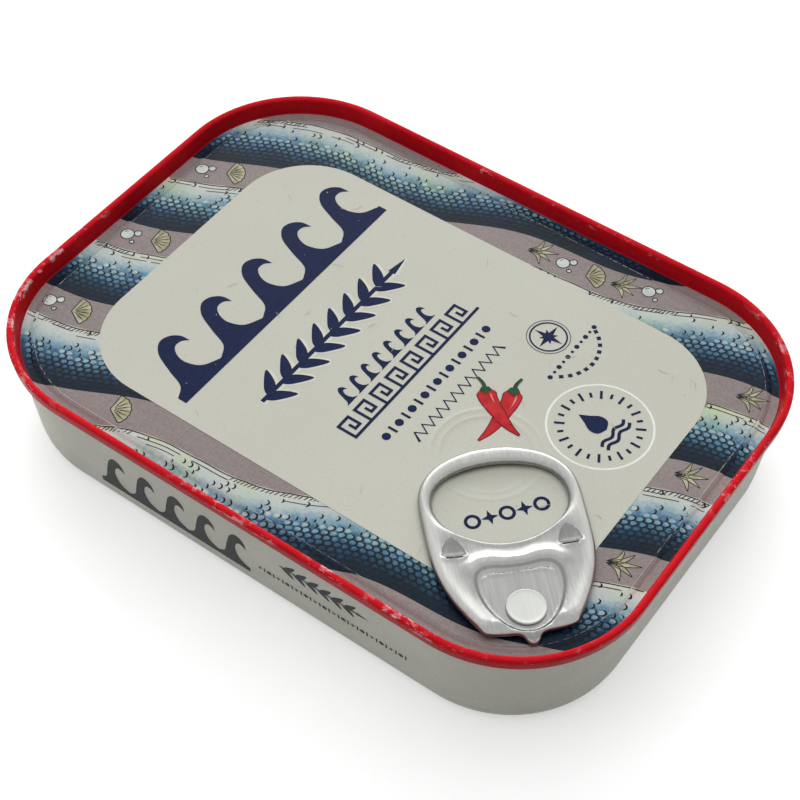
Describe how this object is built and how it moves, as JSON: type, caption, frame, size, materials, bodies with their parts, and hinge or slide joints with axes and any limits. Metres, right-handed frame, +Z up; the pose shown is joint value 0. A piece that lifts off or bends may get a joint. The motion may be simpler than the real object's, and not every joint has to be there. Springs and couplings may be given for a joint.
{
  "type": "anchovy tin",
  "caption": "Shallow oblong fish tin, shut: drawn metal body, seamed easy-open end with a red rim and printed panel, riveted pull tab across one corner.",
  "frame": {"origin": "middle of the footprint, on the plane the tin stands on", "axes": "+X along the long side, towards the end where the tab is riveted; +Z up, out of the printed panel"},
  "size_m": [0.105, 0.0764, 0.02],
  "materials": {
    "body_lacquer": "satin putty-grey lacquer over drawn aluminium",
    "lid_lacquer": "glossy red lacquer on the seam, satin print on the panel",
    "tab_metal": "bare rolled aluminium with a fine lengthwise grain",
    "rivet_metal": "flattened bare metal, matt and pale"
  },
  "bodies": {
    "root": {"can_body": "body_lacquer", "lid": "lid_lacquer", "pull_tab": "tab_metal", "rivet": "rivet_metal"}
  },
  "joints": []
}
